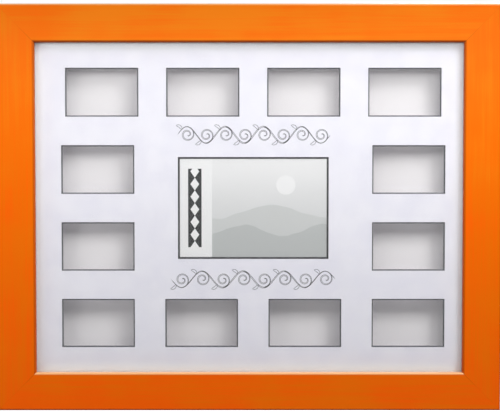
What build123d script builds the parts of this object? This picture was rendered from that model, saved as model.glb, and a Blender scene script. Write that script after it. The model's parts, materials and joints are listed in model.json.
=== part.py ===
from build123d import *
import math
import os

# Collage photo frame that hangs on a wall. Millimetres, X to the right, Z up.
# The picture faces -Y. The origin lies on the wall, behind the centre of the picture.

# Moulding
SIGHT_WIDTH = 444.5
SIGHT_HEIGHT = 342.9
RAIL_WIDTH = 39.7
LIP_THICKNESS = 6.0
OUTER_ROUND = 2.5
INNER_ROUND = 1.5
BACK_ROUND = 1.0
MITRE_ANGLE = 45.0

# Sheets held in the rabbet, from the front to the back
RABBET_OVERLAP = 6.35
PACK_CLEARANCE = 0.8
GLAZING_THICKNESS = 2.0
MAT_THICKNESS = 1.5
SPACER_DEPTH = 15.0
SPACER_WIDTH = 6.0
GROUND_THICKNESS = 1.5
PANEL_THICKNESS = 3.0
PANEL_RECESS = 0.2

# Windows of the mat, measured on its face
WINDOW_WIDTH = 76.2
WINDOW_HEIGHT = 50.8
CENTRE_WINDOW_WIDTH = 157.2
CENTRE_WINDOW_HEIGHT = 106.4
BEVEL_ANGLE = 45.0
LEFT_MARGIN = 26.35
RIGHT_MARGIN = 17.95
END_MARGIN = 25.6
TOP_ROW_INSET = 4.5
WINDOWS_PER_ROW = 4
WINDOW_ROWS = 4

# Centre print and the tapes that hang it on the back of the mat
PRINT_WIDTH = 177.8
PRINT_HEIGHT = 127.0
PRINT_THICKNESS = 0.3
TAPE_THICKNESS = 0.15
TAPE_LENGTH = 40.0
TAPE_ON_PRINT = 10.0
TAPE_ON_MAT = 10.0
TAPE_SPREAD = 55.0

# V-nails across the mitres
NAIL_LEG = 6.0
NAIL_THICKNESS = 0.6
NAIL_HEIGHT = 10.0
NAIL_HALF_ANGLE = 60.0
NAIL_RECESS = 0.3
NAIL_PLAY = 0.05
NAIL_PLACE_SHARES = (0.25, 0.68)

# Pan-head wood screws
SCREW_HEAD_RADIUS = 3.5
SCREW_HEAD_HEIGHT = 2.2
SCREW_SHANK_RADIUS = 1.75
SCREW_SHANK_LENGTH = 13.0
DRIVE_LENGTH = 4.0
DRIVE_WIDTH = 0.9
DRIVE_DEPTH = 1.2
PILOT_PLAY = 0.05

# Turn buttons
BUTTON_WIDTH = 10.0
BUTTON_THICKNESS = 1.2
BUTTON_REACH = 21.0
BUTTON_TAB_HEIGHT = 2.6
BUTTON_TAB_BEND = 1.4
BUTTON_PLAY = 0.15
BUTTON_BORE_PLAY = 0.08
BUTTON_INSET = 9.0
BUTTON_SPREAD = 120.0

# Strap hangers and their rings
STRAP_THICKNESS = 1.0
STRAP_WIDTH = 12.0
STRAP_LENGTH = 21.0
STRAP_SLIT = 0.1
STRAP_NECK = 5.0
STRAP_BEND = 1.2
STRAP_CORNER = 3.0
STRAP_HOLE_PLACE = 13.5
RING_WIRE_RADIUS = 1.2
RING_WIRE_SIDES = 8
RING_BORE_PLAY = 0.08
RING_WIDTH = 20.0
RING_REACH = 16.0
RING_LEG_BEND = 2.5
RING_BOW_BEND = 8.5
HANGER_INSET = 11.0
HANGER_DROP = 105.0

# Wall bumpers
BUMPER_RADIUS = 6.0
BUMPER_HEIGHT = 5.0
BUMPER_EDGE_INSET = 14.0
BUMPER_END_INSET = 34.0

# How far a cut runs past what it cuts
OVERRUN = 1.0

# Sizes and planes that follow from the ones above
pack_width = SIGHT_WIDTH + 2 * RABBET_OVERLAP
pack_height = SIGHT_HEIGHT + 2 * RABBET_OVERLAP
outer_width = SIGHT_WIDTH + 2 * RAIL_WIDTH
outer_height = SIGHT_HEIGHT + 2 * RAIL_WIDTH
rabbet_width = RABBET_OVERLAP + PACK_CLEARANCE

rail_back = -BUMPER_HEIGHT
panel_front = rail_back - PANEL_RECESS - PANEL_THICKNESS
ground_front = panel_front - GROUND_THICKNESS
spacer_front = ground_front - SPACER_DEPTH
mat_front = spacer_front - MAT_THICKNESS
glazing_front = mat_front - GLAZING_THICKNESS
rail_front = glazing_front - LIP_THICKNESS
rail_depth = rail_back - rail_front

block_shift = (LEFT_MARGIN - RIGHT_MARGIN) / 2
column_pitch = (SIGHT_WIDTH - LEFT_MARGIN - RIGHT_MARGIN - WINDOW_WIDTH) / (WINDOWS_PER_ROW - 1)
row_pitch = (SIGHT_HEIGHT - 2 * END_MARGIN - WINDOW_HEIGHT) / (WINDOW_ROWS - 1)
top_row_pitch = column_pitch - 2 * TOP_ROW_INSET / (WINDOWS_PER_ROW - 1)

pilot_radius = SCREW_SHANK_RADIUS + PILOT_PLAY
button_head_seat = 2 * BUTTON_PLAY + BUTTON_THICKNESS
strap_head_seat = 2 * STRAP_THICKNESS + STRAP_SLIT
eye_radius = RING_WIRE_RADIUS + RING_BORE_PLAY + STRAP_THICKNESS
eye_line_radius = eye_radius - STRAP_THICKNESS / 2

TOWARDS_WALL = (0, 1, 0)
TOWARDS_ROOM = (0, -1, 0)


def sheet(width, height, front, thickness):
    """A flat rectangular sheet or strip that stands upright, its face towards the room at front."""
    return Pos(0, front + thickness / 2, 0) * Box(width, thickness, height)


def on_back(x, height_above_rail, z, x_dir=(1, 0, 0)):
    """A plane over the back of the moulding, its normal towards the wall."""
    origin = (x, rail_back + height_above_rail, z)
    return Plane(origin=origin, x_dir=x_dir, z_dir=TOWARDS_WALL)


def mitred_rail(half_sight, outer_length):
    """The rail above the picture: its section drawn out along X, then mitred at both ends."""
    outer = half_sight + RAIL_WIDTH
    rabbet = half_sight + rabbet_width
    section = FilletPolyline(
        (rail_front, half_sight),
        (rail_front, outer),
        (rail_back, outer),
        (rail_back, rabbet),
        (glazing_front, rabbet),
        (glazing_front, half_sight),
        radius=(INNER_ROUND, OUTER_ROUND, BACK_ROUND, 0, 0, 0),
        close=True,
    )
    half_length = outer_length / 2
    bar = extrude(Plane.YZ * make_face(section), half_length + OVERRUN, both=True)
    slope = math.tan(math.radians(MITRE_ANGLE))
    long_half = half_length + OVERRUN * slope
    short_half = half_length - (RAIL_WIDTH + OVERRUN) * slope
    mitre = Polyline(
        (-long_half, outer + OVERRUN),
        (long_half, outer + OVERRUN),
        (short_half, half_sight - OVERRUN),
        (-short_half, half_sight - OVERRUN),
        close=True,
    )
    reach = rail_depth + BUMPER_HEIGHT + OVERRUN
    return bar & extrude(Plane.XZ * make_face(mitre), reach, both=True)


def v_nail(x, z, x_side, z_side, play=0, top_gap=0, extra=0):
    """A V-shaped nail across a mitre, or with play the slot that it is driven into."""
    leg = NAIL_LEG + play
    spread = math.radians(NAIL_HALF_ANGLE)
    tail = leg * math.cos(spread)
    half = leg * math.sin(spread)
    line = Polyline((-tail, half), (0, 0), (-tail, -half))
    seat = Plane(origin=(x, rail_back - top_gap, z), x_dir=(x_side, 0, z_side), z_dir=TOWARDS_ROOM)
    outline = seat * trace(line, NAIL_THICKNESS + 2 * play)
    return extrude(outline, NAIL_HEIGHT + extra)


def corner_nails(play=0, top_gap=0, extra=0):
    """Two nails a corner, set along the mitre between the rabbet and the outer edge."""
    nails = []
    for x_side in (-1, 1):
        for z_side in (-1, 1):
            for share in NAIL_PLACE_SHARES:
                step = rabbet_width + share * (RAIL_WIDTH - rabbet_width)
                x = x_side * (SIGHT_WIDTH / 2 + step)
                z = z_side * (SIGHT_HEIGHT / 2 + step)
                nails.append(v_nail(x, z, x_side, z_side, play, top_gap, extra))
    return nails


def pan_head_screw():
    """A pan-head screw along Z: the underside of its head is at zero and its shank is below."""
    up = (Align.CENTER, Align.CENTER, Align.MIN)
    down = (Align.CENTER, Align.CENTER, Align.MAX)
    head = Cylinder(SCREW_HEAD_RADIUS, SCREW_HEAD_HEIGHT, align=up)
    shank = Cylinder(SCREW_SHANK_RADIUS, SCREW_SHANK_LENGTH, align=down)
    screw = head + shank
    blade = Box(DRIVE_LENGTH, DRIVE_WIDTH, DRIVE_DEPTH + OVERRUN, align=up)
    for angle in (0, 90):
        screw -= Pos(0, 0, SCREW_HEAD_HEIGHT - DRIVE_DEPTH) * Rot(0, 0, angle) * blade
    return screw


def pilot_hole(x, z):
    """The hole in the back of a rail that a screw is driven into."""
    depth = SCREW_SHANK_LENGTH + OVERRUN
    hole = Cylinder(pilot_radius, depth, align=(Align.CENTER, Align.CENTER, Align.MAX))
    return on_back(x, OVERRUN, z) * hole


def turn_button():
    """A cranked turn button: pivot at zero, blade along +X and a finger tab bent up at its tip."""
    mid = BUTTON_THICKNESS / 2
    tip = BUTTON_REACH - mid
    tab_top = BUTTON_THICKNESS + BUTTON_TAB_HEIGHT
    line = FilletPolyline((-BUTTON_WIDTH / 2, mid), (tip, mid), (tip, tab_top), radius=BUTTON_TAB_BEND)
    strip = extrude(Plane.XZ * trace(line, BUTTON_THICKNESS), BUTTON_WIDTH / 2, both=True)
    blade = Rectangle(BUTTON_REACH, BUTTON_WIDTH, align=(Align.MIN, Align.CENTER))
    outline = Circle(BUTTON_WIDTH / 2) + blade
    tall = 2 * BUTTON_THICKNESS + BUTTON_TAB_HEIGHT
    bore = Cylinder(SCREW_SHANK_RADIUS + BUTTON_BORE_PLAY, tall)
    return (strip & extrude(outline, tall)) - bore


def hanger_strap():
    """A steel strap folded round its ring: two leaves over each other and an eye at zero."""
    low = STRAP_THICKNESS / 2
    high = STRAP_THICKNESS + STRAP_SLIT + low
    top = 2 * eye_radius - low
    lower_leaf = Line((STRAP_LENGTH, low), (0, low))
    eye = ThreePointArc((0, low), (-eye_line_radius, eye_radius), (0, top))
    shoulder = eye_line_radius / 2
    upper_leaf = FilletPolyline(
        (0, top),
        (shoulder, top),
        (STRAP_NECK, high),
        (STRAP_LENGTH, high),
        radius=STRAP_BEND,
    )
    fold = trace(Curve() + lower_leaf + eye + upper_leaf, STRAP_THICKNESS)
    strap = extrude(Plane.XZ * fold, STRAP_WIDTH / 2, both=True)
    corners = strap.edges().filter_by(Axis.Z).group_by(Axis.X)[-1]
    strap = fillet(corners, STRAP_CORNER)
    hole = Cylinder(pilot_radius, 2 * (strap_head_seat + OVERRUN))
    return strap - Pos(STRAP_HOLE_PLACE, 0, 0) * hole


def hanger_ring():
    """A D-shaped wire ring: its straight leg lies in the strap's eye and its bow points along -X."""
    half = RING_WIDTH / 2
    bow = FilletPolyline(
        (0, half),
        (-RING_REACH, half),
        (-RING_REACH, -half),
        (0, -half),
        radius=(RING_LEG_BEND, RING_BOW_BEND, RING_BOW_BEND, RING_LEG_BEND),
        close=True,
    )
    leg = bow.edges().filter_by(Axis.Y).sort_by(Axis.X)[-1]
    start = Plane(origin=leg @ 0, z_dir=leg % 0)
    wire = start * RegularPolygon(RING_WIRE_RADIUS, RING_WIRE_SIDES)
    return Pos(0, 0, eye_radius) * sweep(wire, path=bow)


def wall_bumper():
    """A rubber bumper: a low disc that stands on the back of a rail."""
    return Cylinder(BUMPER_RADIUS, BUMPER_HEIGHT, align=(Align.CENTER, Align.CENTER, Align.MIN))


def window_cut(x, z, width, height):
    """The bevelled opening of one window: it narrows from the mat's face to its back."""
    slope = math.tan(math.radians(BEVEL_ANGLE))
    grown = 2 * OVERRUN * slope
    start = Plane(origin=(x, mat_front - OVERRUN, z), x_dir=(1, 0, 0), z_dir=TOWARDS_WALL)
    outline = start * Rectangle(width + grown, height + grown)
    return extrude(outline, MAT_THICKNESS + 2 * OVERRUN, taper=BEVEL_ANGLE)


def small_windows():
    """Places of the small windows: full top and bottom rows, and the two end columns between."""
    places = []
    for row in range(WINDOW_ROWS):
        z = row_pitch * ((WINDOW_ROWS - 1) / 2 - row)
        pitch = top_row_pitch if row == 0 else column_pitch
        full_row = row in (0, WINDOW_ROWS - 1)
        for column in range(WINDOWS_PER_ROW):
            if full_row or column in (0, WINDOWS_PER_ROW - 1):
                x = block_shift + pitch * (column - (WINDOWS_PER_ROW - 1) / 2)
                places.append((x, z))
    return places


def print_tape(x):
    """A tape strip, half on the back of the print and half on the back of the mat."""
    mat_back = spacer_front
    print_back = mat_back + PRINT_THICKNESS
    print_top = PRINT_HEIGHT / 2
    section = Polyline(
        (mat_back, print_top + TAPE_ON_MAT),
        (mat_back + TAPE_THICKNESS, print_top + TAPE_ON_MAT),
        (mat_back + TAPE_THICKNESS, print_top + TAPE_THICKNESS),
        (print_back + TAPE_THICKNESS, print_top + TAPE_THICKNESS),
        (print_back + TAPE_THICKNESS, print_top - TAPE_ON_PRINT),
        (print_back, print_top - TAPE_ON_PRINT),
        (print_back, print_top),
        (mat_back, print_top),
        close=True,
    )
    return Pos(x, 0, 0) * extrude(Plane.YZ * make_face(section), TAPE_LENGTH / 2, both=True)


def button_seats():
    """Name, place and inward direction of each turn button: two on a long rail, one on a short one."""
    seats = []
    z = SIGHT_HEIGHT / 2 + rabbet_width + BUTTON_INSET
    x = SIGHT_WIDTH / 2 + rabbet_width + BUTTON_INSET
    for rail, side in (("top", 1), ("bottom", -1)):
        for end, place in (("left", -BUTTON_SPREAD), ("right", BUTTON_SPREAD)):
            seats.append((f"turn_button_{rail}_{end}", place, side * z, (0, 0, -side)))
    for rail, side in (("left", -1), ("right", 1)):
        seats.append((f"turn_button_{rail}", side * x, 0, (-side, 0, 0)))
    return seats


def hanger_seats():
    """Side name, place of the eye and outward direction of each strap hanger."""
    z = outer_height / 2 - HANGER_DROP
    x = SIGHT_WIDTH / 2 + HANGER_INSET
    return [("left", -x, z, -1), ("right", x, z, 1)]


def bumper_places():
    """One bumper near each corner, on the top and bottom rails."""
    x = outer_width / 2 - BUMPER_END_INSET
    z = outer_height / 2 - BUMPER_EDGE_INSET
    return [(x_side * x, z_side * z) for x_side in (-1, 1) for z_side in (-1, 1)]


def all_pieces():
    """Every piece of the frame, by name."""
    pieces = {}

    # Hardware places come first, because the rails are drilled and slotted for them
    buttons = button_seats()
    hangers = hanger_seats()
    strap_screws = [(x + side * STRAP_HOLE_PLACE, z) for name, x, z, side in hangers]
    pilots = [pilot_hole(x, z) for name, x, z, inward in buttons]
    pilots += [pilot_hole(x, z) for x, z in strap_screws]
    slots = corner_nails(NAIL_PLAY, -OVERRUN, NAIL_RECESS + NAIL_PLAY + OVERRUN)

    # Moulding
    long_rail = mitred_rail(SIGHT_HEIGHT / 2, outer_width)
    short_rail = mitred_rail(SIGHT_WIDTH / 2, outer_height)
    rails = (
        ("top", long_rail, 0),
        ("bottom", long_rail, 180),
        ("left", short_rail, -90),
        ("right", short_rail, 90),
    )
    for name, rail, turn in rails:
        pieces[f"rail_{name}"] = Rot(0, turn, 0) * rail - pilots - slots
    pieces["corner_v_nails"] = Compound(children=corner_nails(top_gap=NAIL_RECESS))

    # Sheets in the rabbet
    pieces["glazing_sheet"] = sheet(pack_width, pack_height, glazing_front, GLAZING_THICKNESS)
    mat = sheet(pack_width, pack_height, mat_front, MAT_THICKNESS)
    mat -= window_cut(block_shift, 0, CENTRE_WINDOW_WIDTH, CENTRE_WINDOW_HEIGHT)
    for x, z in small_windows():
        mat -= window_cut(x, z, WINDOW_WIDTH, WINDOW_HEIGHT)
    pieces["mat_board"] = mat
    pieces["ground_board"] = sheet(pack_width, pack_height, ground_front, GROUND_THICKNESS)
    pieces["back_panel"] = sheet(pack_width, pack_height, panel_front, PANEL_THICKNESS)

    # Spacer strips: the long ones run through, the short ones stand between them
    long_z = (pack_height - SPACER_WIDTH) / 2
    short_x = (pack_width - SPACER_WIDTH) / 2
    short_height = pack_height - 2 * SPACER_WIDTH
    long_spacer = sheet(pack_width, SPACER_WIDTH, spacer_front, SPACER_DEPTH)
    short_spacer = sheet(SPACER_WIDTH, short_height, spacer_front, SPACER_DEPTH)
    for name, side in (("top", 1), ("bottom", -1)):
        pieces[f"spacer_{name}"] = Pos(0, 0, side * long_z) * long_spacer
    for name, side in (("left", -1), ("right", 1)):
        pieces[f"spacer_{name}"] = Pos(side * short_x, 0, 0) * short_spacer

    # Centre print
    print_sheet = sheet(PRINT_WIDTH, PRINT_HEIGHT, spacer_front, PRINT_THICKNESS)
    pieces["centre_print"] = Pos(block_shift, 0, 0) * print_sheet
    tapes = [print_tape(block_shift + side * TAPE_SPREAD) for side in (-1, 1)]
    pieces["print_tapes"] = Compound(children=tapes)

    # Turn buttons on their screws
    button = turn_button()
    screw = pan_head_screw()
    for name, x, z, inward in buttons:
        pieces[name] = on_back(x, BUTTON_PLAY, z, inward) * button
    screws = [on_back(x, button_head_seat, z) * screw for name, x, z, inward in buttons]
    pieces["button_screws"] = Compound(children=screws)

    # Strap hangers
    strap = hanger_strap()
    ring = hanger_ring()
    for name, x, z, side in hangers:
        seat = on_back(x, 0, z, (side, 0, 0))
        pieces[f"hanger_strap_{name}"] = seat * strap
        pieces[f"hanger_ring_{name}"] = seat * ring
    screws = [on_back(x, strap_head_seat, z) * screw for x, z in strap_screws]
    pieces["hanger_screws"] = Compound(children=screws)

    bumpers = [on_back(x, 0, z) * wall_bumper() for x, z in bumper_places()]
    pieces["wall_bumpers"] = Compound(children=bumpers)
    return pieces


os.makedirs("parts", exist_ok=True)
for node, shape in all_pieces().items():
    export_step(shape, f"parts/{node}.step")
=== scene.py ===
import json
import math

import bmesh
import bpy
from mathutils import Color, Matrix, Vector


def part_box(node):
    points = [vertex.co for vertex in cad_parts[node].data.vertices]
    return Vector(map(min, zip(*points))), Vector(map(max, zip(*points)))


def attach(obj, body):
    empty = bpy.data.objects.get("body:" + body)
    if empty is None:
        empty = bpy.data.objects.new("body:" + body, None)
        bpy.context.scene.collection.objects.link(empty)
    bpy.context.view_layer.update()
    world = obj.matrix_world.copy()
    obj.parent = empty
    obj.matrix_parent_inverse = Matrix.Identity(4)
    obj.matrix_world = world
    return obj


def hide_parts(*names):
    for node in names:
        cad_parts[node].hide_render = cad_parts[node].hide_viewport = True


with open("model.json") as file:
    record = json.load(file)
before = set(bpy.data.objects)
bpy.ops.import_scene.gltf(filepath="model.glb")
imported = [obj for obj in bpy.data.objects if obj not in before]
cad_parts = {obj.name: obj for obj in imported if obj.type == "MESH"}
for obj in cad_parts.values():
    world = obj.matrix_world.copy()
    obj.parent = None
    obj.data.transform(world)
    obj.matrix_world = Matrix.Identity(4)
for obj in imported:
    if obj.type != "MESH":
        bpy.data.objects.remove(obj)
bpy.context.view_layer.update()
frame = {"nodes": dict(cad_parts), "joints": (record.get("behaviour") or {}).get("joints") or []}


# Camera. It stands about 1.1 m in front of the moulding, 40 mm above the middle of the frame, and
# looks down by two degrees.
# Lens and sensor are in millimetres, the place in metres and the dip in degrees.
LENS_LENGTH = 76.54
SENSOR_WIDTH = 36.0
CAMERA_PLACE = (0.0008, -1.1342, 0.0402)
CAMERA_DIP = 2.02

scene = bpy.context.scene
camera_data = bpy.data.cameras.new("camera")
camera_data.lens = LENS_LENGTH
camera_data.sensor_width = SENSOR_WIDTH
camera = bpy.data.objects.new("camera", camera_data)
camera.location = CAMERA_PLACE
camera.rotation_euler = (math.radians(90 - CAMERA_DIP), 0, 0)
scene.collection.objects.link(camera)
scene.camera = camera
scene.view_settings.view_transform = "Standard"


# Lamps. A long soft strip hangs close in front of the top rail, so its light comes straight on at
# the top of the mat and ever more steeply lower down. One soft box stands off to the upper right
# and a smaller one high above, a weak one close to the left, and one behind lights the back.
LAMPS = (
    # name, place, point it faces, width, height, watts
    ("strip", (0.04, -0.246, 0.195), (0.04, 0.129, -0.732), 0.92, 0.15, 1.09),
    ("side_box", (0.9, -0.8, 0.9), (0, 0, 0), 0.50, 0.50, 9.2),
    ("high_box", (0.3, -0.55, 0.9), (0, 0, -0.05), 0.30, 0.30, 2.6),
    ("left_box", (-0.60, -0.30, 0.0), (0, 0, -0.05), 0.40, 0.60, 1.0),
    ("back_box", (0.7, 1.3, 0.9), (0, 0, 0), 0.80, 0.80, 26.0),
)

for name, place, target, width, height, watts in LAMPS:
    lamp_data = bpy.data.lights.new(name, "AREA")
    lamp_data.shape = "RECTANGLE"
    lamp_data.size = width
    lamp_data.size_y = height
    lamp_data.energy = watts
    lamp = bpy.data.objects.new(name, lamp_data)
    lamp.location = place
    lamp.rotation_euler = (Vector(target) - Vector(place)).to_track_quat("-Z", "Y").to_euler()
    lamp.visible_camera = False
    scene.collection.objects.link(lamp)


# Room and floor. The room is white to the eye, grey in reflections, and gives an even soft fill.
# The floor is pale, lies well below the hanging frame, and keeps its shadow.
# What the camera sees of the room, what metal mirrors of it, and what it adds to the light.
ROOM_WHITE = (1, 1, 1, 1)
ROOM_SHEEN = (0.34, 0.34, 0.35, 1)
ROOM_FILL = (0.105, 0.105, 0.110, 1)
UNLIT = (0, 0, 0, 1)
FLOOR_HEIGHT = -0.55
FLOOR_REACH = 12.0
FLOOR_MOTTLE = 3
FLOOR_ROUGHNESS = 0.9
FLOOR_SHEEN = 0.1
# How far the camera sees the floor lifted towards white.
FLOOR_LIFT = 0.8


class Wire:
    """A socket that sums and products can be written with."""

    def __init__(self, look, socket):
        self.look = look
        self.socket = socket

    def maths(self, operation, *values):
        """A Math node on the values."""
        return self.look.add("ShaderNodeMath", {"operation": operation}, dict(enumerate(values)))

    def __add__(self, other):
        return self.maths("ADD", self, other)

    def __sub__(self, other):
        return self.maths("SUBTRACT", self, other)

    def __rsub__(self, other):
        return self.maths("SUBTRACT", other, self)

    def __mul__(self, other):
        return self.maths("MULTIPLY", self, other)

    def __truediv__(self, other):
        return self.maths("DIVIDE", self, other)

    def __rtruediv__(self, other):
        return self.maths("DIVIDE", other, self)

    def __abs__(self):
        return self.maths("ABSOLUTE", self)

    __radd__ = __add__
    __rmul__ = __mul__

    def at_least(self, other):
        """The larger of the two."""
        return self.maths("MAXIMUM", self, other)

    def over(self, edge):
        """1 above the edge and 0 below it."""
        return self.maths("GREATER_THAN", self, edge)

    def sine(self):
        """Its sine, taken in radians."""
        return self.maths("SINE", self)

    def zigzag(self, height):
        """Up and down between 0 and height, at a slope of one."""
        return self.maths("PINGPONG", self, height)

    def rise(self, start, full):
        """0 below start, 1 above full, and a smooth rise between them."""
        settings = {"interpolation_type": "SMOOTHSTEP"}
        sockets = {"Value": self, "From Min": start, "From Max": full}
        return self.look.add("ShaderNodeMapRange", settings, sockets)

    def swing(self, weight):
        """How far a pattern strays from its middle, which is 0.5, times weight."""
        return (self - 0.5) * weight

    def between(self, low, high):
        """low where this is 0 and high where it is 1."""
        return self * (high - low) + low


class Look:
    """A material, or the room's world, and the nodes that give its look."""

    def __init__(self, name, world=None):
        self.owner = world or bpy.data.materials.new(name)
        self.owner.use_nodes = True
        self.tree = self.owner.node_tree
        self.tree.nodes.clear()

    def add(self, kind, settings=(), sockets=(), output=0):
        """One node of that kind: its settings first, then the values or wires of its sockets."""
        node = self.tree.nodes.new(kind)
        for key, value in dict(settings).items():
            setattr(node, key, value)
        for key, value in dict(sockets).items():
            if isinstance(value, Wire):
                self.tree.links.new(value.socket, node.inputs[key])
            else:
                node.inputs[key].default_value = value
        return Wire(self, node.outputs[output]) if len(node.outputs) else None

    def mix(self, share, first, second):
        """The first colour where share is 0 and the second where it is 1."""
        # A Mix node holds its two colours in inputs 6 and 7 and gives the result in output 2.
        sockets = {0: share, 6: first, 7: second}
        return self.add("ShaderNodeMix", {"data_type": "RGBA"}, sockets, output=2)

    def tones(self, value, colour, *tones):
        """The colour, and over it each tone (colour, start, full) as the value rises."""
        for tone, start, full in tones:
            colour = self.mix(value.rise(start, full), colour, tone)
        return colour

    def place(self, scale=(1, 1, 1), shift=(0, 0, 0)):
        """The point on the piece in metres, times scale, plus shift."""
        point = self.add("ShaderNodeTexCoord", output="Object")
        sockets = {"Vector": point, "Location": shift, "Scale": scale}
        return self.add("ShaderNodeMapping", sockets=sockets)

    def xyz(self):
        """The three coordinates of the point on the piece."""
        sockets = {"Vector": self.place()}
        return [self.add("ShaderNodeSeparateXYZ", sockets=sockets, output=axis) for axis in "XYZ"]

    def noise(self, density, detail=3.0, shift=(0, 0, 0)):
        """A cloudy pattern about 0.5. Its density is in times a metre, once or for each axis."""
        scale = density if isinstance(density, tuple) else (density,) * 3
        sockets = {"Vector": self.place(scale, shift), "Scale": 1.0, "Detail": detail}
        return self.add("ShaderNodeTexNoise", sockets=sockets)

    def bump(self, height, distance):
        """A surface that stands proud by height times distance."""
        sockets = {"Height": height, "Strength": 1.0, "Distance": distance}
        return self.add("ShaderNodeBump", sockets=sockets)

    def shine(self, colour, roughness, **sockets):
        """The piece's shader: colour, roughness, and any other socket with _ for a space."""
        named = {key.replace("_", " "): value for key, value in sockets.items()}
        sockets = {"Base Color": colour, "Roughness": roughness, **named}
        shader = self.add("ShaderNodeBsdfPrincipled", sockets=sockets)
        self.add("ShaderNodeOutputMaterial", sockets={"Surface": shader})

    def cover(self, *names):
        """Gives this look to pieces and CAD nodes."""
        for name in names:
            mesh = bpy.data.objects[name].data
            mesh.materials.clear()
            mesh.materials.append(self.owner)


def paint(red, green, blue):
    """The colour that a screen shows as these three numbers out of 255."""
    shares = [value / 255 for value in (red, green, blue)]
    return (*Color(shares).from_srgb_to_scene_linear(), 1)


FLOOR_GREY = paint(224, 224, 224)
FLOOR_PALE = paint(230, 230, 230)

room = Look("room", scene.world or bpy.data.worlds.new("room"))
scene.world = room.owner
seen = room.add("ShaderNodeLightPath", output="Is Camera Ray")
mirrored = room.add("ShaderNodeLightPath", output="Is Glossy Ray")
tone = room.mix(seen, room.mix(mirrored, ROOM_FILL, ROOM_SHEEN), ROOM_WHITE)
background = room.add("ShaderNodeBackground", sockets={"Color": tone})
room.add("ShaderNodeOutputWorld", sockets={"Surface": background})

floor_look = Look("floor")
lift = floor_look.add("ShaderNodeLightPath", output="Is Camera Ray") * FLOOR_LIFT
floor_look.shine(
    floor_look.mix(floor_look.noise(FLOOR_MOTTLE), FLOOR_GREY, FLOOR_PALE),
    FLOOR_ROUGHNESS,
    Specular_IOR_Level=FLOOR_SHEEN,
    Emission_Color=floor_look.mix(lift, UNLIT, ROOM_WHITE),
    Emission_Strength=1.0,
)
bed = bmesh.new()
bmesh.ops.create_grid(bed, x_segments=2, y_segments=2, size=FLOOR_REACH)
bmesh.ops.translate(bed, verts=bed.verts, vec=(0, 0, FLOOR_HEIGHT))
floor_mesh = bpy.data.meshes.new("floor")
bed.to_mesh(floor_mesh)
bed.free()
floor = bpy.data.objects.new("floor", floor_mesh)
scene.collection.objects.link(floor)
floor_look.cover("floor")


# Moulding. Four lengths of a flat hardwood section, mitred, glued and V-nailed at the corners, then
# stained bright orange under a satin lacquer, with painted light that makes it paler towards the
# top. The long edges that face up carry a painted highlight and the others a painted shade; the
# back and the rabbet are raw wood.
MM = 0.001
# A colour in brackets lies over the one before it: it sets in where the pattern reaches the first
# number and is full at the second.
STAIN_DEEP = paint(251, 96, 0)
STAIN_MID = (paint(241, 109, 0), 0.0, 0.55)
STAIN_PALE = (paint(238, 124, 10), 0.5, 1.0)
STAIN_JOINT = paint(150, 52, 2)
PAINTED_EDGE_HIGHLIGHT = paint(252, 196, 132)
PAINTED_EDGE_SHADE = paint(126, 48, 8)
WOOD_DEEP = paint(184, 146, 104)
WOOD_PALE = (paint(222, 190, 150), 0.2, 0.9)
# Densities of the grain, in times a metre along the rail and across it.
STREAKS = (16, 620)
BANDS = (4, 110)
PORES = (90, 2200)
CLOUDS = 18
# How strongly each pattern turns the stain paler, and how much painted light from above pales it
# for each metre of height.
STREAK_DEPTH = 0.6
BAND_DEPTH = 0.7
CLOUD_DEPTH = 0.8
PAINTED_TOP_LIGHT = 1.2
# The dark line of each mitre, and the stretch, out from the sight edge, over which it fades.
JOINT_WIDTH = 0.45 * MM
JOINT_FADE = (3 * MM, 20 * MM)
JOINT_FADED = 0.85
JOINT_SHARE = 0.55
# How far the painted highlight or painted shade reaches from an edge, and how much of that is at
# full strength.
PAINTED_EDGE_REACH = 2.6 * MM
PAINTED_EDGE_FULL_INSIDE = 0.91 * MM
PAINTED_EDGE_FULL_OUTSIDE = 0.52 * MM
EDGE_HIGHLIGHT_SHARE = 0.85
EDGE_SHADE_SHARE = {0: 0.85, 2: 0.5}
# The ragged end of the stain, and the relief and roughness of the wood, lacquered and raw.
STAIN_EDGE = 0.6 * MM
RABBET_MARGIN = 2 * MM
PORE_RELIEF = (0.12, 0.72)
STREAK_RELIEF = 0.5
GRAIN_RELIEF = 0.06 * MM
LACQUER_ROUGHNESS = 0.45
LACQUER_SHEEN = 0.08
HIGHLIGHT_EDGE_ROUGHNESS = 0.3
RAW_ROUGHNESS = 0.80
STREAK_ROUGHNESS = 0.12

# Half sizes of the sight opening and the rabbet, along axis 0 and along axis 2.
sight = {0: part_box("rail_right")[0].x, 2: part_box("rail_top")[0].z}
rabbet_side = {0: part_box("glazing_sheet")[1].x, 2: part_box("glazing_sheet")[1].z}
rail_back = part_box("rail_top")[1].y
rail_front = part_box("rail_top")[0].y
rail_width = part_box("rail_top")[1].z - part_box("rail_top")[0].z
rabbet_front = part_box("glazing_sheet")[0].y


def fibres(look, run, density, detail, shift=0):
    """A pattern drawn out along the rail's run, which is axis 0 or 2."""
    along, across = density
    scale = [across] * 3
    scale[run] = along
    return look.noise(tuple(scale), detail, (shift, 0, 0))


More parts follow.
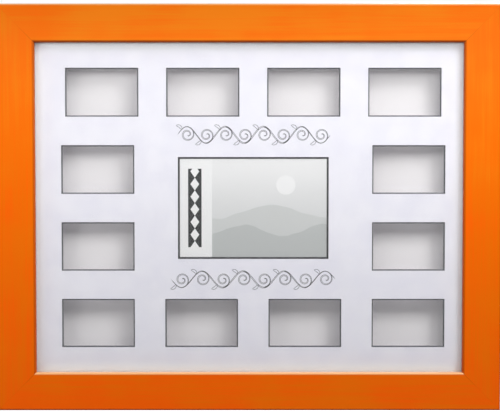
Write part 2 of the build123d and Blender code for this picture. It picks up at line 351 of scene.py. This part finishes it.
def moulding(name, run):
    """The finish of the two rails that run along axis 0 or 2."""
    look = Look(name)
    x, y, z = look.xyz()
    side = 2 - run
    across = abs(z if run == 0 else x)
    streak = fibres(look, run, STREAKS, detail=4.0)
    band = fibres(look, run, BANDS, detail=2.0, shift=7)
    pores = fibres(look, run, PORES, detail=2.0, shift=11)
    cloud = look.noise(CLOUDS, detail=2.0, shift=(3, 1, 5))
    pale = streak.swing(STREAK_DEPTH) + band.swing(BAND_DEPTH) + cloud.swing(CLOUD_DEPTH)
    # Painted light from above: the stain turns paler with height.
    pale = pale + z * PAINTED_TOP_LIGHT + 0.5
    stain = look.tones(pale, STAIN_DEEP, STAIN_MID, STAIN_PALE)

    # The line of the mitre, where the point is as far out along one axis as along the other.
    out = across - sight[side]
    off_joint = abs((abs(x) - sight[0]) - (abs(z) - sight[2]))
    joint = (1 - off_joint.rise(0, JOINT_WIDTH)) * (1 - out.rise(*JOINT_FADE) * JOINT_FADED)
    stain = look.mix(joint * JOINT_SHARE, stain, STAIN_JOINT)

    # The long edges: a painted highlight on those that face up and a painted shade on the others.
    # Only
    # the long rails have some that face up: the bottom one's inner edge and the top one's outer
    # edge.
    inner = 1 - out.rise(PAINTED_EDGE_FULL_INSIDE, PAINTED_EDGE_REACH)
    outer = out.rise(rail_width - PAINTED_EDGE_REACH, rail_width - PAINTED_EDGE_FULL_OUTSIDE)
    outer = outer * (1 - y.rise(rail_front + PAINTED_EDGE_REACH, rail_front + PAINTED_EDGE_REACH * 2))
    above = z.over(0)
    painted_edge_highlight = (inner * (1 - above)).at_least(outer * above) if run == 0 else 0.0
    painted_edge_shade = inner.at_least(outer) - painted_edge_highlight
    # Painted highlight on the edges that face up, painted shade on the others.
    stain = look.mix(painted_edge_highlight * EDGE_HIGHLIGHT_SHARE, stain, PAINTED_EDGE_HIGHLIGHT)
    stain = look.mix(painted_edge_shade * EDGE_SHADE_SHARE[run], stain, PAINTED_EDGE_SHADE)

    # Raw wood on the back and in the rabbet.
    ragged = y + band.swing(STAIN_EDGE * 2)
    back = ragged.over(rail_back - STAIN_EDGE)
    within = 1 - across.over(rabbet_side[side] + RABBET_MARGIN)
    rabbet = y.over(rabbet_front + STAIN_EDGE) * within
    bare = back.at_least(rabbet)
    wood = look.tones(pale, WOOD_DEEP, WOOD_PALE)
    tooth = pores * bare.between(*PORE_RELIEF) + streak * STREAK_RELIEF
    look.shine(
        look.mix(bare, stain, wood),
        bare.between(LACQUER_ROUGHNESS, RAW_ROUGHNESS) + streak.swing(STREAK_ROUGHNESS),
        Specular_IOR_Level=LACQUER_SHEEN,
        Coat_Weight=painted_edge_highlight,
        Coat_Roughness=HIGHLIGHT_EDGE_ROUGHNESS,
        Normal=look.bump(tooth, GRAIN_RELIEF),
    )
    return look


moulding("stained_wood_long", 0).cover("rail_top", "rail_bottom")
moulding("stained_wood_short", 2).cover("rail_left", "rail_right")


# V-nails. Strips of rolled steel, bent to a V and still marked from the mill. Two are driven across
# each mitre from the back, flush with the wood.
NAIL_DARK = paint(120, 120, 124)
NAIL_PALE = paint(176, 176, 180)
NAIL_MARKS = (900, 300, 900)
NAIL_ROUGHNESS = (0.38, 0.58)
NAIL_RELIEF = 0.02 * MM

nail_steel = Look("nail_steel")
marks = nail_steel.noise(NAIL_MARKS)
nail_steel.shine(
    nail_steel.mix(marks, NAIL_DARK, NAIL_PALE),
    marks.between(*NAIL_ROUGHNESS),
    Metallic=1.0,
    Normal=nail_steel.bump(marks, NAIL_RELIEF),
)
nail_steel.cover("corner_v_nails")


# Glazing. A clear acrylic sheet in front of the mat. It hardly shows from the front and takes on a
# sheen at a low angle.
GLAZING_TINT = paint(246, 249, 250)
GLAZING_HAZE = 30
GLAZING_ROUGHNESS = (0.04, 0.07)
# How much the sheet covers, seen straight on and at the lowest angle.
GLAZING_COVER = (0.03, 0.48)
GLAZING_BLEND = 0.25

clear_sheet = Look("clear_sheet")
facing = clear_sheet.add(
    "ShaderNodeLayerWeight", sockets={"Blend": GLAZING_BLEND}, output="Facing"
)
clear_sheet.shine(
    GLAZING_TINT,
    clear_sheet.noise(GLAZING_HAZE, detail=2.0).between(*GLAZING_ROUGHNESS),
    Alpha=(facing * facing).between(*GLAZING_COVER),
)
clear_sheet.cover("glazing_sheet")


# Window mat. White face paper with a fine tooth over a grey core, with painted light along the lip
# of the moulding that lifts its shadow. The windows are cut with a bevel, which shows the core as a
# thin dark line; the core is blackened round the centre window.
PAPER_COOL = paint(234, 233, 242)
PAPER_WARM = (paint(239, 238, 245), 0.3, 0.7)
PAINTED_LIP_LIGHT = paint(246, 251, 255)
LIP_LIGHT_REACH = 14 * MM
CORE_GREY = paint(88, 88, 92)
CORE_BLACK = paint(26, 26, 28)
FACE_PAPER = 0.05 * MM
PAPER_TOOTH = 2400
PAPER_MOTTLE = 45
MOTTLE_RELIEF = 2
PAPER_RELIEF = 0.02 * MM
PAPER_ROUGHNESS = (0.82, 0.92)
PAPER_SHEEN = 0.2
WINDOW_MIDDLE = 4.2 * MM
WINDOW_HALF_WIDTH = 79.4 * MM
WINDOW_HALF_HEIGHT = 54.0 * MM

mat_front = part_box("mat_board")[0].y
mat_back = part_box("mat_board")[1].y

window_mat = Look("window_mat")
x, y, z = window_mat.xyz()
tooth = window_mat.noise(PAPER_TOOTH, detail=2.0)
mottle = window_mat.noise(PAPER_MOTTLE, detail=4.0)
# Painted light along the lip of the moulding, where its shadow falls on the mat.
lip_light_share = (abs(x) - sight[0]).at_least(abs(z) - sight[2]).rise(-LIP_LIGHT_REACH, 0)
paper = window_mat.tones(mottle, PAPER_COOL, PAPER_WARM)
paper = window_mat.mix(lip_light_share, paper, PAINTED_LIP_LIGHT)
beside = abs(x - WINDOW_MIDDLE).over(WINDOW_HALF_WIDTH)
centre = (1 - beside) * (1 - abs(z).over(WINDOW_HALF_HEIGHT))
core = window_mat.mix(centre, CORE_GREY, CORE_BLACK)
cut = y.over(mat_front + FACE_PAPER) * (1 - y.over(mat_back - FACE_PAPER))
window_mat.shine(
    window_mat.mix(cut, paper, core),
    tooth.between(*PAPER_ROUGHNESS),
    Specular_IOR_Level=PAPER_SHEEN,
    Normal=window_mat.bump(tooth + mottle * MOTTLE_RELIEF, PAPER_RELIEF),
)
window_mat.cover("mat_board")


# Ground board. Smooth white board with a faint fleck. It lies behind the spacers and shows at the
# bottom of the small windows.
GROUND_WHITE = paint(238, 235, 236)
GROUND_FLECK = (paint(243, 240, 241), 0.35, 0.65)
GROUND_FLECKS = 700
GROUND_ROUGHNESS = 0.75
GROUND_SHEEN = 0.2
GROUND_RELIEF = 0.01 * MM

ground = Look("ground")
fleck = ground.noise(GROUND_FLECKS, detail=4.0)
ground.shine(
    ground.tones(fleck, GROUND_WHITE, GROUND_FLECK),
    GROUND_ROUGHNESS,
    Specular_IOR_Level=GROUND_SHEEN,
    Normal=ground.bump(fleck, GROUND_RELIEF),
)
ground.cover("ground_board")


# Scroll ornament. Two running vines with curled volutes and small leaves, one printed above and one
# below the centre window. Each stroke is a pair of fine ink lines that swell apart in the middle.
INK = paint(70, 70, 74)
INK_WORN = (paint(104, 104, 108), 0.45, 0.75)
INK_WEAR = 500
INK_ROUGHNESS = (0.7, 0.8)
INK_SHEEN = 0.2
INK_LINE = 0.27 * MM
INK_ROUNDNESS = 1
INK_HEIGHT = 0.05 * MM
SWELL_POWER = 0.7
STEM_SWELL = 0.55 * MM
STEM_STEPS = 24
# Shares of the vine's half height, and of its own size for the end of a volute.
VOLUTE_SIZE = 0.93
VOLUTE_DRIFT = 0.12
VOLUTE_END = 0.16
VOLUTE_TURNS = 1.55
VOLUTE_STEPS = 40
# The bow is a share of the leaf's length, and the setback a share of a wave.
LEAF_SWELL = 1.3 * MM
LEAF_LENGTH = 7.5 * MM
LEAF_LEAN = math.radians(38)
LEAF_BOW = 0.16
LEAF_SETBACK = 0.13
LEAF_DROP = 3.2 * MM
LEAF_STEPS = 8
VINE_WAVES = 4
VINE_HALF_HEIGHT = 8.6 * MM
VINES = (
    # name, left end, right end, middle height, side of the first crest
    ("vine_upper", -74.8 * MM, 84.4 * MM, 76.2 * MM, 1),
    ("vine_lower", -81.5 * MM, 90.0 * MM, -74.6 * MM, -1),
)


def piece(name, mesh, body, look):
    """An object in its place that moves with a body and takes the given look."""
    made = bpy.data.objects.new(name, mesh)
    scene.collection.objects.link(made)
    look.cover(name)
    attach(made, body)
    return made


def round_curve(name, radius, roundness):
    """A curve whose lines are drawn as round wires."""
    curve = bpy.data.curves.new(name, "CURVE")
    curve.dimensions = "3D"
    curve.bevel_depth = radius
    curve.bevel_resolution = roundness
    return curve


def closed_line(curve, points):
    """Adds a closed line through (x, z) points to a curve."""
    spline = curve.splines.new("POLY")
    spline.points.add(len(points) - 1)
    for point, (x, z) in zip(spline.points, points):
        point.co = (x, 0, z, 1)
    spline.use_cyclic_u = True


def drawn(curve, flat, place):
    """The mesh of a curve, with its wires flattened along Y and moved to their place."""
    holder = bpy.data.objects.new(curve.name, curve)
    scene.collection.objects.link(holder)
    graph = bpy.context.evaluated_depsgraph_get()
    mesh = bpy.data.meshes.new_from_object(holder.evaluated_get(graph))
    bpy.data.objects.remove(holder)
    shape = bmesh.new()
    shape.from_mesh(mesh)
    bmesh.ops.recalc_face_normals(shape, faces=shape.faces)
    bmesh.ops.scale(shape, verts=shape.verts, vec=(1, flat, 1))
    bmesh.ops.translate(shape, verts=shape.verts, vec=place)
    shape.to_mesh(mesh)
    shape.free()
    return mesh


def stroke(curve, line, swell):
    """Adds the pair of ink lines either side of a centre line of (x, z) points."""
    sides = ([], [])
    last = len(line) - 1
    for number, (x, z) in enumerate(line):
        before = line[max(number - 1, 0)]
        after = line[min(number + 1, last)]
        run = Vector((after[0] - before[0], after[1] - before[1])).normalized()
        inside = 0 < number < last
        half = swell * math.sin(math.pi * number / last) ** SWELL_POWER if inside else 0
        sides[0].append((x - run.y * half, z + run.x * half))
        sides[1].append((x + run.y * half, z - run.x * half))
    closed_line(curve, sides[0] + sides[1][-2:0:-1])


def stem(left, length, height, flip):
    """Points along the wavy stem, from its left end."""
    line = []
    for step in range(VINE_WAVES * STEM_STEPS + 1):
        rise = flip * VINE_HALF_HEIGHT * math.sin(2 * math.pi * step / STEM_STEPS)
        line.append((left + length * step / STEM_STEPS, height + rise))
    return line


def volute(crest, top, side):
    """Points along the curl within a crest of the stem, wound inwards from its top."""
    size = VINE_HALF_HEIGHT * VOLUTE_SIZE
    line = []
    for step in range(VOLUTE_STEPS + 1):
        share = step / VOLUTE_STEPS
        radius = size * (1 - share * (1 - VOLUTE_END))
        turn = math.pi / 2 - 2 * math.pi * VOLUTE_TURNS * share
        hub = crest + share * VINE_HALF_HEIGHT * VOLUTE_DRIFT
        line.append((hub + radius * math.cos(turn), top + side * (radius * math.sin(turn) - size)))
    return line


def leaf(root, foot, side):
    """Points along a bowed leaf that leans back from its root."""
    line = []
    for step in range(LEAF_STEPS + 1):
        reach = LEAF_LENGTH * step / LEAF_STEPS
        bow = LEAF_BOW * LEAF_LENGTH * math.sin(math.pi * step / LEAF_STEPS)
        along = reach * math.cos(LEAF_LEAN) - bow * math.sin(LEAF_LEAN)
        up = reach * math.sin(LEAF_LEAN) + bow * math.cos(LEAF_LEAN)
        line.append((root - along, foot + side * up))
    return line


ink = Look("ink")
wear = ink.noise(INK_WEAR)
ink.shine(
    ink.tones(wear, INK, INK_WORN),
    wear.between(*INK_ROUGHNESS),
    Specular_IOR_Level=INK_SHEEN,
)

for name, left, right, height, flip in VINES:
    curve = round_curve(name, INK_LINE, INK_ROUNDNESS)
    length = (right - left) / VINE_WAVES
    stroke(curve, stem(left, length, height, flip), STEM_SWELL)
    # The stem turns at a quarter of its first wave, and then after every half wave.
    for number in range(2 * VINE_WAVES):
        side = flip if number % 2 == 0 else -flip
        crest = left + length * (0.25 + number / 2)
        top = height + side * VINE_HALF_HEIGHT
        stroke(curve, volute(crest, top, side), STEM_SWELL)
        root = crest - length * LEAF_SETBACK
        stroke(curve, leaf(root, top - side * LEAF_DROP, side), LEAF_SWELL)
    mesh = drawn(curve, INK_HEIGHT / INK_LINE, (0, mat_front, 0))
    piece(name, mesh, "frame", ink)


# Centre print. A sheet of satin photo paper, printed with a made-up landscape in pale greys, a
# white strip at its left with a dark band of diamonds, and a fine black keyline round the part
# that shows.
PRINT_WHITE = paint(238, 238, 238)
PRINT_BLACK = paint(30, 30, 32)
PRINT_LOW_SKY = paint(214, 215, 215)
PRINT_SKY = (paint(232, 232, 232), -10 * MM, 60 * MM)
SKY_HAZE = (14, 14, 30)
HAZE_HEIGHT = 20 * MM
SUN_RIGHT = 34.0 * MM
SUN_UP = 24.0 * MM
SUN_RADIUS = 10.5 * MM
SUN_EDGE = 1 * MM
RIDGES = (
    # radians a metre, start, swing, raggedness, height, colour; the far ridge first
    (52, 0.6, 7 * MM, 5 * MM, -6 * MM, paint(203, 205, 204)),
    (74, 2.4, 6 * MM, 8 * MM, -27 * MM, paint(186, 189, 188)),
)
RIDGE_GRAIN = 60
RIDGE_EDGE = 0.8 * MM
STRIP_EDGE = -43.0 * MM
BAND_MIDDLE = -61.0 * MM
BAND_HALF_WIDTH = 7.0 * MM
BAND_HALF_HEIGHT = 41.0 * MM
DIAMOND_HALF_HEIGHT = 6.6 * MM
DIAMOND_HALF_WIDTH = 4.6 * MM
SHOWN_HALF_WIDTH = 77.1 * MM
SHOWN_HALF_HEIGHT = 51.7 * MM
KEYLINE = 0.5 * MM
PRINT_TOOTH = 1500
PRINT_ROUGHNESS = (0.42, 0.54)
PRINT_SHEEN = 0.3
PRINT_RELIEF = 0.006 * MM

centre_print = Look("centre_print")
x, _, z = centre_print.xyz()
right = x - WINDOW_MIDDLE
haze = centre_print.noise(SKY_HAZE, shift=(2, 0, 4))
picture = centre_print.tones(z + haze * HAZE_HEIGHT, PRINT_LOW_SKY, PRINT_SKY)
sun_x = right - SUN_RIGHT
sun_z = z - SUN_UP
sun = 1 - (sun_x * sun_x + sun_z * sun_z).rise((SUN_RADIUS - SUN_EDGE) ** 2, SUN_RADIUS**2)
picture = centre_print.mix(sun, picture, PRINT_WHITE)
grain = centre_print.noise(RIDGE_GRAIN, detail=5.0)
for density, start, swing, ragged, height, colour in RIDGES:
    ridge = (right * density + start).sine() * swing + grain * ragged + height
    picture = centre_print.mix((ridge - z).rise(0, RIDGE_EDGE), picture, colour)
picture = centre_print.mix(1 - right.over(STRIP_EDGE), picture, PRINT_WHITE)
off_band = abs(right - BAND_MIDDLE)
band = (1 - off_band.over(BAND_HALF_WIDTH)) * (1 - abs(z).over(BAND_HALF_HEIGHT))
off_diamond = (z + BAND_HALF_HEIGHT).zigzag(DIAMOND_HALF_HEIGHT) / DIAMOND_HALF_HEIGHT
around = (off_diamond + off_band / DIAMOND_HALF_WIDTH).over(1)
picture = centre_print.mix(band * around, picture, PRINT_BLACK)
for reach, colour in ((-KEYLINE, PRINT_BLACK), (KEYLINE, PRINT_WHITE)):
    beyond = abs(right).over(SHOWN_HALF_WIDTH + reach)
    beyond = beyond.at_least(abs(z).over(SHOWN_HALF_HEIGHT + reach))
    picture = centre_print.mix(beyond, picture, colour)
paper_tooth = centre_print.noise(PRINT_TOOTH, detail=2.0)
centre_print.shine(
    picture,
    paper_tooth.between(*PRINT_ROUGHNESS),
    Specular_IOR_Level=PRINT_SHEEN,
    Normal=centre_print.bump(paper_tooth, PRINT_RELIEF),
)
centre_print.cover("centre_print")


# Tape hinges. Two strips of gummed linen tape, woven of cream thread. They hang the print on the
# back of the mat.
LINEN_DARK = paint(204, 192, 160)
LINEN_PALE = (paint(234, 224, 200), 0.35, 0.65)
LINEN_WARP = (2600, 300, 180)
LINEN_WEFT = (180, 300, 2600)
LINEN_ROUGHNESS = 0.85
LINEN_SHEEN = 0.2
LINEN_RELIEF = 0.05 * MM

linen = Look("linen_tape")
warp = linen.noise(LINEN_WARP, detail=1.0)
weft = linen.noise(LINEN_WEFT, detail=1.0, shift=(5, 0, 5))
weave = (warp + weft) * 0.5
linen.shine(
    linen.tones(weave, LINEN_DARK, LINEN_PALE),
    LINEN_ROUGHNESS,
    Specular_IOR_Level=LINEN_SHEEN,
    Normal=linen.bump(weave, LINEN_RELIEF),
)
linen.cover("print_tapes")


# Spacers. Strips of foam board, a little yellowed. They stand on edge between the mat and the
# ground board and hold them apart.
FOAM_WHITE = paint(244, 244, 243)
FOAM_YELLOWED = (paint(232, 231, 226), 0.3, 0.8)
FOAM_CELLS = 2200
FOAM_YELLOWING = 35
FOAM_ROUGHNESS = (0.8, 0.9)
FOAM_SHEEN = 0.2
FOAM_RELIEF = 0.03 * MM

foam_board = Look("foam_board")
cells = foam_board.noise(FOAM_CELLS, detail=2.0)
foam_board.shine(
    foam_board.tones(foam_board.noise(FOAM_YELLOWING), FOAM_WHITE, FOAM_YELLOWED),
    cells.between(*FOAM_ROUGHNESS),
    Specular_IOR_Level=FOAM_SHEEN,
    Normal=foam_board.bump(cells, FOAM_RELIEF),
)
foam_board.cover("spacer_top", "spacer_bottom", "spacer_left", "spacer_right")


# Back panel. Brown hardboard, pressed from wood fibre, with the print of a wire screen on its rough
# side, which faces the wall.
HARDBOARD_DARK = paint(96, 66, 44)
HARDBOARD_MID = (paint(134, 97, 66), 0.05, 0.55)
HARDBOARD_PALE = (paint(168, 130, 94), 0.55, 0.95)
HARDBOARD_PULP = 260
HARDBOARD_CLOUDS = 9
PULP_DEPTH = 1.3
HARDBOARD_CLOUD_DEPTH = 0.8
HARDBOARD_ROUGHNESS = (0.62, 0.87)
HARDBOARD_SHEEN = 0.3
SCREEN_PITCH = 1.4 * MM
SCREEN_SIDE = 0.3 * MM
SCREEN_RELIEF = 0.5
HARDBOARD_RELIEF = 0.12 * MM

hardboard = Look("hardboard")
x, y, z = hardboard.xyz()
pulp = hardboard.noise(HARDBOARD_PULP, detail=6.0)
cloud = hardboard.noise(HARDBOARD_CLOUDS, detail=4.0, shift=(4, 4, 4))
pale = pulp.swing(PULP_DEPTH) + cloud.swing(HARDBOARD_CLOUD_DEPTH) + 0.5
turn = 2 * math.pi / SCREEN_PITCH
screen = (x * turn).sine() * (z * turn).sine()
rough_side = y.over(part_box("back_panel")[1].y - SCREEN_SIDE)
hardboard.shine(
    hardboard.tones(pale, HARDBOARD_DARK, HARDBOARD_MID, HARDBOARD_PALE),
    pulp.between(*HARDBOARD_ROUGHNESS),
    Specular_IOR_Level=HARDBOARD_SHEEN,
    Normal=hardboard.bump(screen * rough_side * SCREEN_RELIEF + pulp, HARDBOARD_RELIEF),
)
hardboard.cover("back_panel")


# Turn buttons. Strips of zinc-plated steel, pressed to shape with a tab to push on, each held under
# the head of its own screw.
ZINC_GREY = paint(170, 172, 176)
ZINC_PALE = (paint(206, 206, 204), 0.35, 0.7)
ZINC_BRUSHING = (1800, 200, 120)
ZINC_SPANGLE = 220
ZINC_ROUGHNESS = (0.30, 0.46)
BRUSHING_RELIEF = 0.5
ZINC_RELIEF = 0.015 * MM

zinc_strip = Look("zinc_strip")
brushing = zinc_strip.noise(ZINC_BRUSHING, detail=2.0)
spangle = zinc_strip.noise(ZINC_SPANGLE, shift=(1, 2, 3))
zinc_strip.shine(
    zinc_strip.tones(spangle, ZINC_GREY, ZINC_PALE),
    brushing.between(*ZINC_ROUGHNESS),
    Metallic=1.0,
    Normal=zinc_strip.bump(brushing * BRUSHING_RELIEF + spangle, ZINC_RELIEF),
)
buttons = sorted(name for name in frame["nodes"] if name.startswith("turn_button_"))
zinc_strip.cover(*buttons)


# Screws. Zinc-plated pan-head wood screws with a cross recess: one holds each turn button and each
# hanger. The thread is rolled on the shank, which ends in a point.
SCREW_GREY = paint(160, 160, 162)
SCREW_PALE = (paint(204, 203, 198), 0.3, 0.7)
SCREW_SPECKLE = 700
SCREW_ROUGHNESS = (0.26, 0.42)
SCREW_RELIEF = 0.01 * MM
HEAD_RADIUS = 3.5 * MM
HEAD_EDGE = 0.75 * MM
HEAD_HEIGHT = 2.2 * MM
HEAD_TOP = 0.9 * MM
HEAD_STEPS = 7
SHANK_RADIUS = 1.3 * MM
SHANK_LENGTH = 12.9 * MM
POINT_LENGTH = 3.0 * MM
THREAD_RADIUS = 1.7 * MM
THREAD_PITCH = 1.2 * MM
THREAD_HALF_FOOT = 0.336 * MM
THREAD_TURNS = 6
THREAD_STEPS = 14
RECESS_HALF = 2.0 * MM
RECESS_ARM = 0.45 * MM
RECESS_DEPTH = 1.2 * MM
RECESS_TAPER = 0.7
SPIN_STEPS = 24
MERGE_DISTANCE = 0.001 * MM
SMOOTH_ANGLE = math.radians(40)
# Each screw stops at its own angle, in degrees: the first one's, and how much further the next is.
FIRST_STOP = 17
NEXT_STOP = 41


def quarter(steps):
    """The cosine and sine at equal steps of a quarter turn."""
    turns = [math.pi / 2 * step / steps for step in range(steps + 1)]
    return [(math.cos(turn), math.sin(turn)) for turn in turns]


def turned(profile, steps=SPIN_STEPS):
    """A bmesh turned round Y from (radius, height) points."""
    shape = bmesh.new()
    rim = [shape.verts.new((radius, height, 0)) for radius, height in profile]
    line = [shape.edges.new(pair) for pair in zip(rim, rim[1:])]
    bmesh.ops.spin(
        shape,
        geom=rim + line,
        cent=(0, 0, 0),
        axis=(0, 1, 0),
        dvec=(0, 0, 0),
        angle=2 * math.pi,
        steps=steps,
        use_merge=True,
    )
    bmesh.ops.remove_doubles(shape, verts=shape.verts, dist=MERGE_DISTANCE)
    bmesh.ops.recalc_face_normals(shape, faces=shape.faces)
    return shape


def settled(name, shapes):
    """One mesh of the given bmeshes, smooth where its faces meet at less than SMOOTH_ANGLE."""
    joined = bmesh.new()
    for shape in shapes:
        part = bpy.data.meshes.new(name)
        shape.to_mesh(part)
        shape.free()
        joined.from_mesh(part)
        bpy.data.meshes.remove(part)
    for face in joined.faces:
        face.smooth = True
    for edge in joined.edges:
        edge.smooth = len(edge.link_faces) == 2 and edge.calc_face_angle(0) < SMOOTH_ANGLE
    mesh = bpy.data.meshes.new(name)
    joined.to_mesh(mesh)
    joined.free()
    return mesh


def screw_body():
    """The head and shank of a screw whose head stands on zero and faces +Y."""
    profile = [(0, -SHANK_LENGTH), (SHANK_RADIUS, POINT_LENGTH - SHANK_LENGTH)]
    profile += [(SHANK_RADIUS, 0), (HEAD_RADIUS, 0)]
    for cosine, sine in quarter(HEAD_STEPS):
        reach = HEAD_TOP + (HEAD_RADIUS - HEAD_TOP) * cosine
        profile.append((reach, HEAD_EDGE + (HEAD_HEIGHT - HEAD_EDGE) * sine))
    body = turned(profile + [(0, HEAD_HEIGHT)])
    for normal in (Vector((1, 0, 0)), Vector((0, 0, 1))):
        for reach in (-RECESS_HALF, -RECESS_ARM, RECESS_ARM, RECESS_HALF):
            bmesh.ops.bisect_plane(
                body,
                geom=body.verts[:] + body.edges[:] + body.faces[:],
                dist=MERGE_DISTANCE,
                plane_co=normal * reach,
                plane_no=normal,
            )

    def in_recess(face):
        middle = face.calc_center_median()
        near, far = sorted((abs(middle.x), abs(middle.z)))
        return middle.y > HEAD_EDGE and near < RECESS_ARM and far < RECESS_HALF

    top = [face for face in body.faces if in_recess(face)]
    sunk = bmesh.ops.extrude_face_region(body, geom=top)["geom"]
    bottom = HEAD_HEIGHT - RECESS_DEPTH
    for vert in [item for item in sunk if isinstance(item, bmesh.types.BMVert)]:
        vert.co = (vert.co.x * RECESS_TAPER, bottom, vert.co.z * RECESS_TAPER)
    bmesh.ops.delete(body, geom=top, context="FACES")
    bmesh.ops.recalc_face_normals(body, faces=body.faces)
    return body


def screw_thread():
    """The rib that winds up the shank of the same screw from its point."""
    thread = bmesh.new()
    start = POINT_LENGTH - SHANK_LENGTH
    outline = (
        (SHANK_RADIUS, -THREAD_HALF_FOOT),
        (THREAD_RADIUS, 0),
        (SHANK_RADIUS, THREAD_HALF_FOOT),
    )
    rib = [thread.verts.new((radius, start + height, 0)) for radius, height in outline]
    loop = [thread.edges.new(pair) for pair in zip(rib, rib[1:] + rib[:1])]
    bmesh.ops.spin(
        thread,
        geom=rib + loop,
        cent=(0, 0, 0),
        axis=(0, 1, 0),
        dvec=(0, THREAD_PITCH / THREAD_STEPS, 0),
        angle=2 * math.pi * THREAD_TURNS,
        steps=THREAD_STEPS * THREAD_TURNS,
    )
    bmesh.ops.holes_fill(thread, edges=[edge for edge in thread.edges if edge.is_boundary])
    bmesh.ops.recalc_face_normals(thread, faces=thread.faces)
    return thread


screw_steel = Look("screw_steel")
speckle = screw_steel.noise(SCREW_SPECKLE)
screw_steel.shine(
    screw_steel.tones(speckle, SCREW_GREY, SCREW_PALE),
    speckle.between(*SCREW_ROUGHNESS),
    Metallic=1.0,
    Normal=screw_steel.bump(speckle, SCREW_RELIEF),
)

pivots = {joint["child"]: joint["pos_m"] for joint in frame["joints"]}
button_places = [pivots[child] for child in sorted(pivots) if child.startswith("button_")]
hanger_low, hanger_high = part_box("hanger_screws")
hanger_x = hanger_high.x - HEAD_RADIUS
hanger_z = (hanger_low.z + hanger_high.z) / 2
hanger_places = [(-hanger_x, 0, hanger_z), (hanger_x, 0, hanger_z)]

for name, places in (("button_screws", button_places), ("hanger_screws", hanger_places)):
    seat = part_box(name)[1].y - HEAD_HEIGHT
    shapes = []
    for number, (across, _, up) in enumerate(places):
        turn = Matrix.Rotation(math.radians(FIRST_STOP + NEXT_STOP * number), 3, "Y")
        for shape in (screw_body(), screw_thread()):
            bmesh.ops.rotate(shape, verts=shape.verts, cent=(0, 0, 0), matrix=turn)
            bmesh.ops.translate(shape, verts=shape.verts, vec=(across, seat, up))
            shapes.append(shape)
    made = piece(name + "_turned", settled(name, shapes), "frame", screw_steel)
    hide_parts(name)


# Strap hangers. Nickel-plated steel strips with a soft polish, folded round their rings. One screw
# holds both leaves of each on its side rail.
NICKEL_WARM = paint(186, 182, 174)
NICKEL_PALE = (paint(216, 213, 206), 0.3, 0.7)
NICKEL_POLISH = (90, 500, 500)
NICKEL_CLOUDS = 160
NICKEL_ROUGHNESS = (0.18, 0.32)
NICKEL_RELIEF = 0.008 * MM

nickel = Look("nickel")
polish = nickel.noise(NICKEL_POLISH)
cloud = nickel.noise(NICKEL_CLOUDS, shift=(6, 1, 2))
nickel.shine(
    nickel.tones(cloud, NICKEL_WARM, NICKEL_PALE),
    polish.between(*NICKEL_ROUGHNESS),
    Metallic=1.0,
    Normal=nickel.bump(polish, NICKEL_RELIEF),
)
nickel.cover("hanger_strap_left", "hanger_strap_right")


# Rings. Round wire of the same nickel-plated steel, bent to a D. The straight leg is held in the
# eye of the strap, and the bow lies towards the middle of the frame.
WIRE_RADIUS = 1.2 * MM
WIRE_ROUNDNESS = 4
LEG_BEND = 2.5 * MM
BOW_BEND = 8.5 * MM
BEND_STEPS = 8


def bent(corners):
    """Points round a closed line along X and Z with rounded corners (x, z, radius)."""
    line = []
    count = len(corners)
    for number, (x, z, radius) in enumerate(corners):
        here = Vector((x, z))
        before = (Vector(corners[number - 1][:2]) - here).normalized()
        after = (Vector(corners[(number + 1) % count][:2]) - here).normalized()
        hub = here + (before + after) * radius
        for cosine, sine in quarter(BEND_STEPS):
            line.append(hub - after * radius * cosine - before * radius * sine)
    return line


for side, inward in (("left", 1), ("right", -1)):
    low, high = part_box("hanger_ring_" + side)
    leg, tip = (low.x, high.x) if side == "left" else (high.x, low.x)
    leg += inward * WIRE_RADIUS
    tip -= inward * WIRE_RADIUS
    foot = low.z + WIRE_RADIUS
    top = high.z - WIRE_RADIUS
    leg_ends = ((leg, foot, LEG_BEND), (leg, top, LEG_BEND))
    bow_ends = ((tip, top, BOW_BEND), (tip, foot, BOW_BEND))
    curve = round_curve("ring_wire_" + side, WIRE_RADIUS, WIRE_ROUNDNESS)
    closed_line(curve, bent(leg_ends + bow_ends))
    mesh = drawn(curve, 1, (0, (low.y + high.y) / 2, 0))
    for polygon in mesh.polygons:
        polygon.use_smooth = True
    made = piece("ring_wire_" + side, mesh, "ring_" + side, nickel)
    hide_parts("hanger_ring_" + side)


# Wall bumpers. Low discs of moulded black rubber with a rounded rim and a little dust. They are
# stuck near the corners of the back and keep the frame off the wall.
RUBBER_BLACK = paint(38, 38, 39)
RUBBER_DUSTY = (paint(62, 61, 60), 0.4, 0.8)
RUBBER_SKIN = 1200
RUBBER_DUST = 300
RUBBER_ROUGHNESS = (0.72, 0.87)
RUBBER_SHEEN = 0.3
RUBBER_RELIEF = 0.04 * MM
BUMPER_RADIUS = 6.0 * MM
BUMPER_RIM = 1.3 * MM
RIM_STEPS = 6
BUMPER_SIDES = 56

rubber = Look("bumper_rubber")
skin = rubber.noise(RUBBER_SKIN)
dust = rubber.noise(RUBBER_DUST, detail=4.0, shift=(3, 3, 3))
rubber.shine(
    rubber.tones(dust, RUBBER_BLACK, RUBBER_DUSTY),
    skin.between(*RUBBER_ROUGHNESS),
    Specular_IOR_Level=RUBBER_SHEEN,
    Normal=rubber.bump(skin, RUBBER_RELIEF),
)

bumper_low, bumper_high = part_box("wall_bumpers")
bumper_height = bumper_high.y - bumper_low.y
profile = [(0, 0), (BUMPER_RADIUS, 0)]
for cosine, sine in quarter(RIM_STEPS):
    reach = BUMPER_RADIUS - BUMPER_RIM * (1 - cosine)
    profile.append((reach, bumper_height - BUMPER_RIM * (1 - sine)))
profile.append((0, bumper_height))
shapes = []
for across in (bumper_low.x + BUMPER_RADIUS, bumper_high.x - BUMPER_RADIUS):
    for up in (bumper_low.z + BUMPER_RADIUS, bumper_high.z - BUMPER_RADIUS):
        shape = turned(profile, BUMPER_SIDES)
        bmesh.ops.translate(shape, verts=shape.verts, vec=(across, bumper_low.y, up))
        shapes.append(shape)
made = piece("bumper_discs", settled("bumper_discs", shapes), "frame", rubber)
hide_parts("wall_bumpers")
